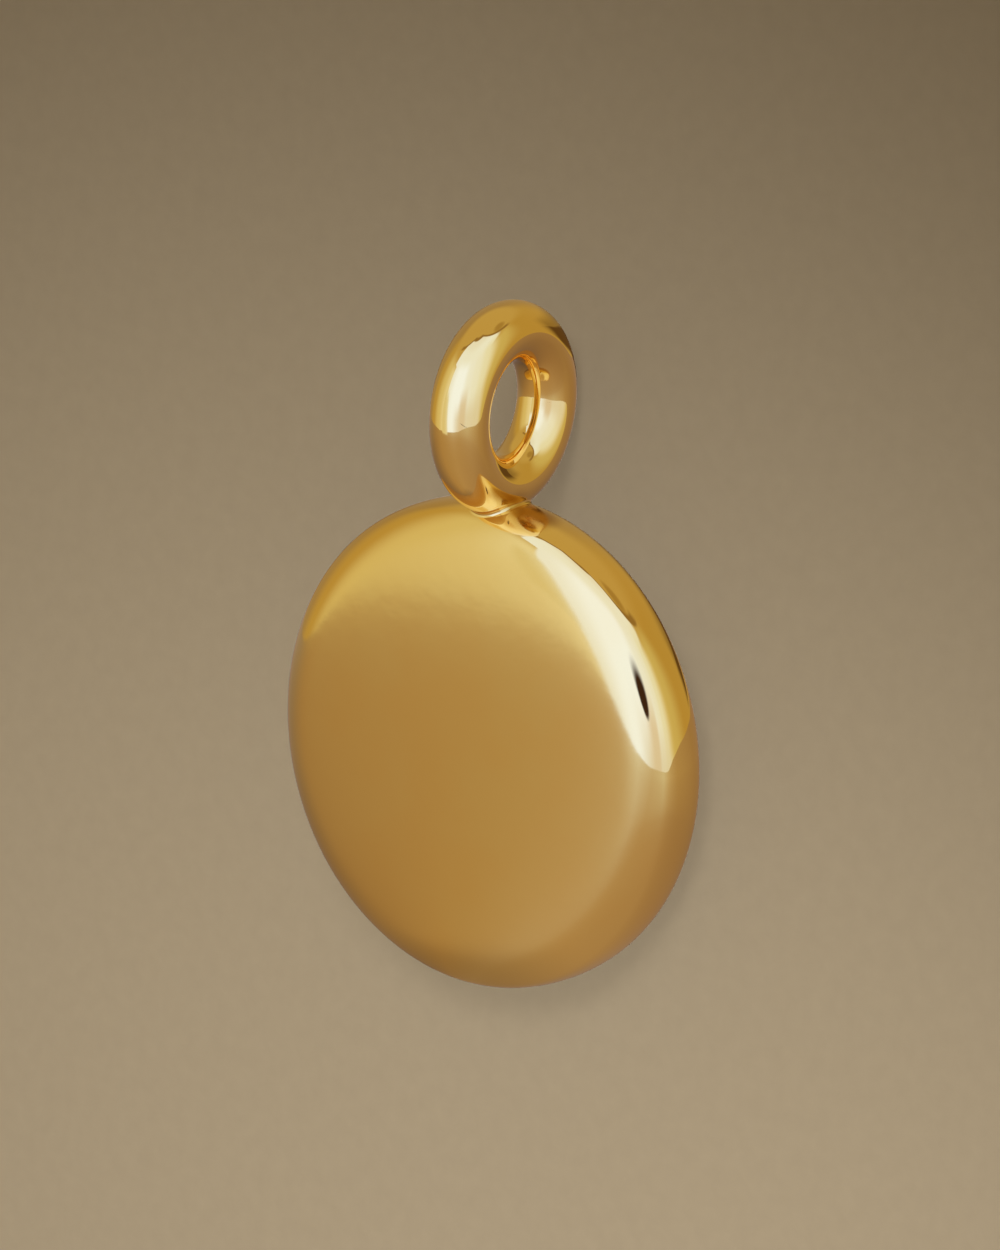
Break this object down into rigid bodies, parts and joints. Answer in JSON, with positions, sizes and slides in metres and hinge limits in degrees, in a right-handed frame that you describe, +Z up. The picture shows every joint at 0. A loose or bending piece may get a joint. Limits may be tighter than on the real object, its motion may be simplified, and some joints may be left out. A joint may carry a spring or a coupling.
{
  "type": "coin pendant",
  "caption": "Thick blank coin pendant in polished yellow gold, with softly domed faces, a rounded rim and a round-wire ring soldered to its edge, nearly square to the faces.",
  "frame": {"origin": "on the floor, under the middle of the whole pendant as it lies on its back", "axes": "+Y from the coin to its ring, along the length; +Z up, through the thin way, with the front face looking up; +X across, which the ring's hole follows within six degrees"},
  "size_m": [0.01, 0.014, 0.0043],
  "materials": {
    "polished_gold": "polished, with a softer brushed lustre on the faces"
  },
  "bodies": {
    "root": {"pendant": "polished_gold"}
  },
  "joints": []
}
